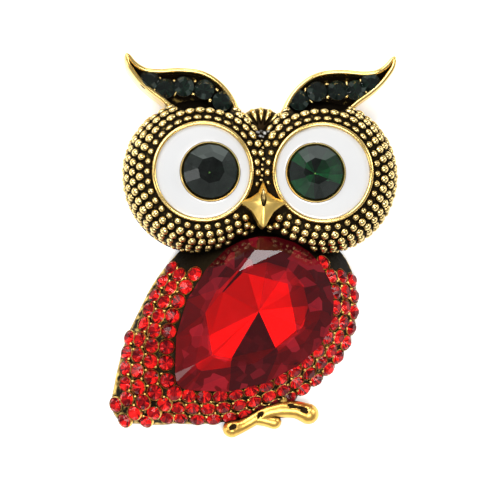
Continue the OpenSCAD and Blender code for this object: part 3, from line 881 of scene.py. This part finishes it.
def make_ears():
    """Each ear is a plate with a round rim that stands up round its dark hollow."""
    plate, rims = bmesh.new(), bmesh.new()
    # The rim's section: how far in from the ear's edge, and how far from its top
    rim = [(0.02, -1.9), (0, -0.45), (0.06, -0.24), (0.18, -0.07), (0.38, 0), (0.58, -0.07),
           (0.7, -0.26), (0.76, -0.6), (0.78, -1.9)]
    for side in (-1, 1):
        line = ear_line(side)
        into = [inwards(line, i, side) for i in range(len(line))]
        inner = [p + way * 0.12 for p, way in zip(line, into)]
        loft(plate, [level(inner, EAR_BACK), level(line, EAR_BACK + 0.15), level(line, EAR_FLOOR)])
        tip = ear_place(side, 1, 0.97)
        rings = []
        for p, way in zip(line, into):
            wide = 1 - 0.16 * max(0, 1 - (p - tip).length / 2.5)
            rings.append([p + way * out * wide + UP * (EAR_TOP + up) for out, up in rim])
        loft(rims, rings, round_trip=True)
    materials = [dark_gold, polished_gold]
    mesh = cut_away(closed_mesh(plate), [head_hollow()], materials)
    for f in mesh.polygons:
        f.material_index = 1 if f.normal.z < 0.5 else 0
    finish_piece("ear_plates", mesh, materials)
    finish_piece("ear_rims", closed_mesh(rims), [polished_gold], 60)


def make_ear_settings():
    """Short cups under the ear stones and uneven prongs between them."""
    bm = patina_form()[0]
    r, low, prongs = EAR_STONE_D / 2, EAR_FLOOR - 0.2, []
    random.seed(17)
    for side in (-1, 1):
        stones = ear_stone_places(side)
        for at in stones:
            turned(bm, [(r * 0.45, low), (r + 0.02, low), (r + 0.02, at.z - 0.25),
                        (r - 0.12, at.z - 0.2), (r * 0.45, at.z - 1.1)], 24, flat(at), closed=True)
        for a, b in zip(stones, stones[1:]):
            across = (b - a).cross(UP).normalized()
            for s in (-1, 1):
                at = (a + b) / 2 + across * s * 0.95
                prongs.append(shift(at) @ spun(random.uniform(0, 3), "Z")
                              @ Matrix.Diagonal((random.uniform(0.9, 1.9), random.uniform(0.7, 1.2),
                                                 random.uniform(1.2, 1.7), 1)))
    repeat(bm, bead_mesh(0.5), prongs)
    finish_piece("ear_settings", closed_mesh(bm), [antique_gold], 60)


def make_beak():
    """A four-pointed beak with hollow sides, pitched to its middle, with a groove."""
    half = [(x * BEAK_W / 2, y * BEAK_L, 0) for x, y in BEAK]
    points = half + [(-x, y, 0) for x, y, z in half[:0:-1]]
    line = []
    for i, p in enumerate(points):
        q = points[(i + 1) % len(points)]
        line += [Vector(p).lerp(Vector(q), k / 4) for k in range(4)]
    # Share of the beak's outline at each height
    steps = [(1, 7.0), (1, 9.2), (0.985, 9.36), (0.95, 9.46), (0.8, 9.68), (0.6, 9.94),
             (0.4, 10.16), (0.2, 10.31), (0.06, 10.37)]
    bm = bmesh.new()
    loft(bm, [[p * s + UP * z for p in line] for s, z in steps])
    slot = bmesh.new()
    bmesh.ops.create_uvsphere(slot, u_segments=16, v_segments=12, radius=1)
    bmesh.ops.scale(slot, vec=(0.46, 1.5, 0.64), verts=slot.verts[:])
    bmesh.ops.translate(slot, vec=(0, 0.75, 10.25), verts=slot.verts[:])
    materials = [beak_gold, antique_gold]
    mesh = cut_away(closed_mesh(bm), [closed_mesh(slot, 1)], materials)
    mesh.transform(shift(HEAD + Vector((0, BEAK_Y, 0))))
    finish_piece("beak", mesh, materials, 20)


def make_crest():
    """Seven tufts in a fan over a plate that is black where it runs into the forehead."""
    bm, black = patina_form()
    at = HEAD + Vector((0, CREST_Y, 0))
    fan = [Vector((0, -1.4, 0))] + [turn_of(15 + 150 * k / 18) * 3.75 for k in range(19)]
    loft(bm, [[at + p * share + UP * z for p in fan] for share, z in ((1, 2.7), (1, 5.4), (0.97, 5.6))])
    for v in bm.verts:
        v[black] = 0.9 if v.co.y < at.y else 0.08
    for i in range(7):
        tuft, root = patina_form()
        bmesh.ops.create_uvsphere(tuft, u_segments=16, v_segments=10, radius=1)
        for v in tuft.verts:
            f = (v.co.x + 1) / 2
            v[root] = max(0, 0.6 - 1.2 * f)
            v.co = Vector((v.co.x * 1.35, v.co.y * (0.22 + 0.4 * f), v.co.z * (0.45 + 0.6 * f)))
        bmesh.ops.transform(tuft, matrix=shift(at + UP * 5.5) @ spun(radians(90 + (i - 3) * 21), "Z")
                            @ shift((2.55, 0, 0)), verts=tuft.verts[:])
        bm.from_mesh(raw_mesh(tuft))
    finish_piece("crest", closed_mesh(bm), [antique_gold], 50)


def tube(bm, points, sides=28, steps=10):
    """A bar along a line of points, each with its radius, and with round ends."""
    n, line = len(points), []
    for i in range(n - 1):
        near = [points[min(max(i + k, 0), n - 1)] for k in (-1, 0, 1, 2)]
        line += [[smooth_step(*part, k / steps) for part in zip(*near)] for k in range(steps)]
    line.append(points[-1])
    places = [(Vector(p[:3]), p[3]) for p in line]

    def ring(at, along, r):
        side = along.cross(UP).normalized()
        top = side.cross(along).normalized()
        return [at + side * (r * cos(2 * pi * k / sides)) + top * (r * sin(2 * pi * k / sides))
                for k in range(sides)]

    def round_end(p, r, along, way, turns):
        return [ring(p + along * r * way * sin(radians(t)), along, r * cos(radians(t)))
                for t in turns]

    first = (places[1][0] - places[0][0]).normalized()
    last = (places[-1][0] - places[-2][0]).normalized()
    rings = round_end(*places[0], first, -1, (75, 50, 25))
    for i, (p, r) in enumerate(places):
        along = places[min(i + 1, len(places) - 1)][0] - places[max(i - 1, 0)][0]
        rings.append(ring(p, along.normalized(), r))
    loft(bm, rings + round_end(*places[-1], last, 1, (25, 50, 75)))


def make_feet():
    """Round toes with dark marks pressed between the claws."""
    bm, dark = patina_form()
    for toe in TOES:
        tube(bm, [(x + FOOT.x, y + FOOT.y, z, d * 0.96) for x, y, z, d in toe])
    for v in bm.verts:
        for x, y, long, wide, turn in CLAW_MARKS:
            at = Matrix.Rotation(radians(-turn), 3, "Z") @ (v.co - FOOT - Vector((x, y, 0)))
            near = 1 - hypot(at.x / long, at.y / wide)
            if near > 0 and v.co.z > 1.7:
                v[dark] = min(1.5, near * 5)
                v.co.z -= 0.3 * min(1, near * 2)
    finish_piece("feet", closed_mesh(bm), [foot_gold], 60)


def stone_settings(places):
    """A thin raised ring round every small stone, and beads where three stones meet."""
    bm, ring = patina_form()[0], patina_form()[0]
    r, neighbours = STONE_D / 2, STONE_PITCH * 1.35
    turned(ring, [(r - 0.02, -0.4), (r + 0.06, 0.06), (r + 0.12, 0.13), (r + 0.17, 0.06),
                  (r + 0.2, -0.4)], 14, closed=True)
    repeat(bm, closed_mesh(ring), places)
    spots = []
    at = [p.translation for p in places]
    for i in range(len(at)):
        near = [j for j in range(i + 1, len(at)) if (at[i] - at[j]).length < neighbours]
        for j, k in combinations(near, 2):
            mid = (at[i] + at[j] + at[k]) / 3
            limit = (mid - at[i]).length + 0.35
            even = all((mid - at[s]).length < limit for s in (j, k))
            if even and (at[j] - at[k]).length < neighbours:
                turn = places[i].to_quaternion().slerp(places[k].to_quaternion(), 0.5)
                spots.append(shift(mid) @ turn.to_matrix().to_4x4() @ shift(UP * 0.12))
    repeat(bm, bead_mesh(0.46, 1.3), spots)
    finish_piece("stone_settings", raw_mesh(bm), [setting_gold], 60)


# Stones and enamel

def gem(rings):
    """A cut stone: the hull of its rings of corners, its flat faces joined."""
    bm = bmesh.new()
    for ring in rings:
        if len(ring) > 2:
            made = bmesh.ops.create_circle(bm, segments=len(ring), radius=1)["verts"]
        else:
            made = [bm.verts.new(p) for p in ring]
        for v, p in zip(made, ring):
            v.co = p
    bmesh.ops.convex_hull(bm, input=bm.verts[:])
    loose = [v for v in bm.verts if not v.link_faces]
    bmesh.ops.delete(bm, geom=loose, context="VERTS")
    bmesh.ops.dissolve_limit(bm, angle_limit=radians(0.7), verts=bm.verts[:], edges=bm.edges[:])
    bmesh.ops.recalc_face_normals(bm, faces=bm.faces[:])
    return bm


def flat_ring(r, z, n, first=0.0):
    """Corners of a stone, evenly round its axis."""
    return [turn_of(first + 360 * i / n) * r + UP * z for i in range(n)]


def round_gem(d, crown, depth, table=0.55, sides=8, girdle=0.06):
    """A round stone, with its table, a crown, an upright girdle and a pointed back."""
    r = d / 2
    return gem([flat_ring(r * table, crown, sides), flat_ring(r, girdle, sides * 2, 90 / sides),
                flat_ring(r, -girdle, sides * 2, 90 / sides), [Vector((0, 0, -depth))]])


def shade_facets(bm, pick):
    """Foil goes on the faces under the girdle, and each facet gets a painted shade of light or dark,
    standing in for its reflections.
    """
    shade = bm.faces.layers.float.get("facet") or bm.faces.layers.float.new("facet")
    for f in bm.faces:
        if f.normal.z < -0.02:
            f.material_index = 1
        f[shade] = pick(f)


def make_small_stones(places):
    """The field of small stones: each is cut alike and has its own painted play of dark and light,
    standing in for its reflections.
    """
    bm = bmesh.new()
    shade = bm.faces.layers.float.new("facet")
    d = STONE_D * 1.06
    mesh = raw_mesh(round_gem(d, d * 0.28, d * 0.32, 0.52))
    random.seed(11)
    for place in places:
        count, faces = len(bm.verts), len(bm.faces)
        bm.from_mesh(mesh)
        bm.verts.ensure_lookup_table()
        bm.faces.ensure_lookup_table()
        turn = (spun(random.uniform(-0.4, 0.4), "Z") @ spun(random.uniform(-0.07, 0.07), "X")
                @ spun(random.uniform(-0.07, 0.07), "Y"))
        bmesh.ops.transform(bm, matrix=place @ turn, verts=bm.verts[count:])
        up = (place.to_3x3() @ UP).normalized()
        for f in bm.faces[faces:]:
            # Painted shades of the back facets, table and crown, standing in for reflections
            f.normal_update()
            if f.normal.dot(up) < -0.15:
                f.material_index = 1
                f[shade] = random.choice((0, 0, 0, 0.1, 0.35, 0.6, 0.85, 0.95))
            elif f.normal.dot(up) > TABLE_UP:
                f[shade] = random.choice((0.5, 0.8, 0.9, 0.94, 0.96))
            else:
                f[shade] = random.choice((0, 0.2, 0.5, 0.8, 0.93))
    finish_piece("small_red_stones", raw_mesh(bm), [small_red_glass, small_red_foil], 0,
                 ["pave_stones"])


def make_pear_stone():
    """The pear stone: table, two rings of crown facets and a pointed back, each facet with a painted
    shade standing in for its reflections.
    """
    table = [Vector((x * PEAR_R, y * PEAR_R, GIRDLE_Z + PEAR_CROWN)) for x, y in PEAR_TABLE]
    middle = [pear_edge(a) * CROWN_SHARE + UP * (GIRDLE_Z + PEAR_CROWN * CROWN_RISE)
              for a in range(0, 360, 30)]
    upper, lower = ([pear_edge(7.5 + 15 * i) + UP * (GIRDLE_Z + z) for i in range(24)]
                    for z in (0.06, -0.1))
    below = [pear_edge(a) * BACK_SHARE + UP * (GIRDLE_Z - PEAR_DEPTH * BACK_DEPTH)
             for a in range(15, 360, 30)]
    point = [Vector((POINT_X, 0, GIRDLE_Z - PEAR_DEPTH))]
    bm = gem([table, middle, upper, lower, below, point])
    random.seed(7)
    # Painted shades of the back facets, standing in for their reflections, by twelfths of a turn
    near_point = (0, 1, 0.95, 0.05, 0, 0.15, 0.2, 0.55, 0.2, 0.15, 0, 0)
    near_edge = (0, 0.8, 0.1, 0.15, 0.6, 0.9, 0.8, 0.95, 0.85, 0.9, 0.7, 0.1)

    def pick(f):
        c = f.calc_center_median()
        if f.normal.z > TABLE_UP:
            return 0
        if f.normal.z > 0:
            inner = c.z > GIRDLE_Z + PEAR_CROWN * 0.55
            # Inner crown facets towards the tip are painted lighter red, a painted reflection
            if inner and c.x > 2.5:
                return random.choice((0.5, 0.75, 0.88, 0.93))
            return random.choice((0.82, 0.92, 0.95, 0.96) if inner else (0.93, 0.96, 0.98))
        low = c.z < GIRDLE_Z - PEAR_DEPTH * 0.56
        c = c - point[0] if low else c
        sector = int(((degrees(atan2(c.y, c.x)) + 15) % 360) // 30)
        return (near_point if low else near_edge)[sector]

    shade_facets(bm, pick)
    bmesh.ops.transform(bm, matrix=PEAR_FRAME, verts=bm.verts[:])
    finish_piece("pear_stone", raw_mesh(bm), [red_glass, red_foil], 0,
                 ["body_stone"])


def make_eye_stones():
    """Dark stones with an eight-sided table and painted facet shades; the upper facets of the crown are
    the lightest, a painted reflection.
    """
    for side, word in SIDES:
        bm = round_gem(EYE_STONE_D * 0.97, 1.6, 2.6, 0.5)
        random.seed(20 + side)

        def pick(f):
            if f.normal.z > TABLE_UP:
                return 0
            if f.normal.z < 0:
                return random.choice((0.05, 0.6, 0.9, 0.97) if side > 0 else (0.95, 0.98, 1.0))
            if abs(f.normal.z) < 0.1:
                return 0.1
            up = f.normal.y / hypot(f.normal.x, f.normal.y)
            # Facets that face up the brooch get a painted reflection
            return random.uniform(0.1, 0.18) + (0.5 if up > 0.75 else 0.0)

        bmesh.ops.rotate(bm, cent=(0, 0, 0), verts=bm.verts[:],
                         matrix=Matrix.Rotation(radians(8 * side), 3, "Z"))
        bmesh.ops.recalc_face_normals(bm, faces=bm.faces[:])
        shade_facets(bm, pick)
        bmesh.ops.translate(bm, verts=bm.verts[:], vec=eye_at(side, TURN_IN) + UP * EYE_STONE_Z)
        finish_piece("eye_crystal_" + word, raw_mesh(bm), [green_glass, green_foil], 0,
                     ["eye_stone_" + word])


def make_ear_stones():
    """Small dark stones, each set a little askew, with painted facet shades that stand in for
    reflections.
    """
    d = EAR_STONE_D * 1.05
    random.seed(31)
    for side, word in SIDES:
        for i, at in enumerate(ear_stone_places(side), 1):
            number = "%s_%d" % (word, i)
            bm = round_gem(d, d * 0.22, d * 0.38)
            shade_facets(bm, lambda f: 0.12 if f.normal.z > TABLE_UP else
                         random.choice((0.03, 0.08, 0.15, 0.2, 0.7) if f.normal.z > 0
                                       else (0.3, 0.7, 0.9, 0.95)))
            bmesh.ops.transform(bm, matrix=shift(at) @ spun(random.uniform(-0.4, 0.4), "Z")
                                @ spun(random.uniform(-0.08, 0.08), "X"), verts=bm.verts[:])
            finish_piece("ear_crystal_" + number, raw_mesh(bm), [ear_glass, ear_foil], 0,
                         ["ear_stone_" + number])


def make_enamel():
    """Poured enamel, a little hollow towards the eye stone and rounded at the ring."""
    out, cup, low = RING_R - RING_T - 0.02, CUP_R - 0.06, FLOOR_Z + 0.02
    # Share of the way in to the eye stone's cup, and the height there
    levels = [(0, low), (0, 8.8), (0.06, 8.86), (0.25, 8.9), (0.5, 8.9), (0.75, 8.9),
              (0.94, 8.93), (1, 8.98), (1, low)]
    turns = [turn_of(360 * k / 96) for k in range(96)]
    for side, word in SIDES:
        bm = bmesh.new()
        cup_at = Vector((-side * TURN_IN, 0, 0))
        loft(bm, [[eye_at(side) + (turn * out).lerp(cup_at + turn * cup, f) + UP * z
                   for turn in turns] for f, z in levels], round_trip=True)
        finish_piece("white_enamel_" + word, closed_mesh(bm), [enamel_white], 50,
                     ["eye_enamel_" + word])


places = [PEAR_FRAME @ m for m in stone_places()]
make_body(places)
make_lobes()
make_eye_rims()
make_beads()
make_ears()
make_ear_settings()
make_beak()
make_crest()
make_feet()
stone_settings(places)
make_small_stones(places)
make_pear_stone()
make_eye_stones()
make_ear_stones()
make_enamel()
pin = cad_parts["pin_back"]
pin.data.materials.clear()
pin.data.materials.append(pin_gold)


# Floor, light and camera

def stage_floor():
    """A large pale floor just under the brooch, in metres."""
    bm = bmesh.new()
    bmesh.ops.create_grid(bm, x_segments=1, y_segments=1, size=0.6)
    floor = new_object("floor", raw_mesh(bm))
    m, shader = new_material("pale_floor")
    set_inputs(shader, Base_Color=(0.9, 0.9, 0.9), Roughness=0.5,
               Emission_Color=(1, 1, 1), Emission_Strength=0.35)
    floor.data.materials.append(m)
    floor.location.z = -0.00002


def softbox(name, at, size, power):
    """A soft lamp that faces the brooch, with its sides in metres and its power in watts."""
    data = bpy.data.lights.new(name, "AREA")
    data.shape, data.size, data.size_y = "RECTANGLE", *size
    data.energy = power
    lamp = new_object(name, data)
    lamp.location = at
    lamp.rotation_mode = "QUATERNION"
    lamp.rotation_quaternion = (-Vector(at)).to_track_quat("-Z", "Y")


stage_floor()
softbox("top_left_light", (-0.3, 0.32, 0.5), (0.42, 0.36), 3.6)
softbox("crown_light", (0.055, 0.415, 0.455), (0.12, 0.12), 0.55)
softbox("right_light", (0.48, 0.19, 0.34), (0.18, 0.18), 0.95)
softbox("front_light", (0.0, -0.24, 0.58), (0.4, 0.2), 2.4)
softbox("left_light", (-0.55, -0.1, 0.22), (0.12, 0.4), 0.6)
world = bpy.data.worlds.new("studio")
bpy.context.scene.world = world
world.use_nodes = True
set_inputs(world.node_tree.nodes["Background"], Color=(1, 1, 1), Strength=0.34)

# Lens and sensor in millimetres; in metres, the width of the view and the height it is set for
LENS, SENSOR, VIEW_W, AIM_Z = 400, 36, 0.07275, 0.006
camera = new_object("camera", bpy.data.cameras.new("camera"))
back = Vector((-0.087, -0.105, 1)).normalized()
camera.data.lens, camera.data.sensor_width = LENS, SENSOR
camera.rotation_mode = "QUATERNION"
across = Vector((0, 1, 0)).cross(back).normalized()
camera.rotation_quaternion = Matrix((across, back.cross(across), back)).transposed().to_quaternion()
camera.location = Vector((-0.509, -0.655, 0)) * MM + back * (VIEW_W * LENS / SENSOR + AIM_Z)
camera.data.clip_start, camera.data.clip_end = 0.01, 10
bpy.context.scene.camera = camera
bpy.context.scene.view_settings.view_transform = "Standard"
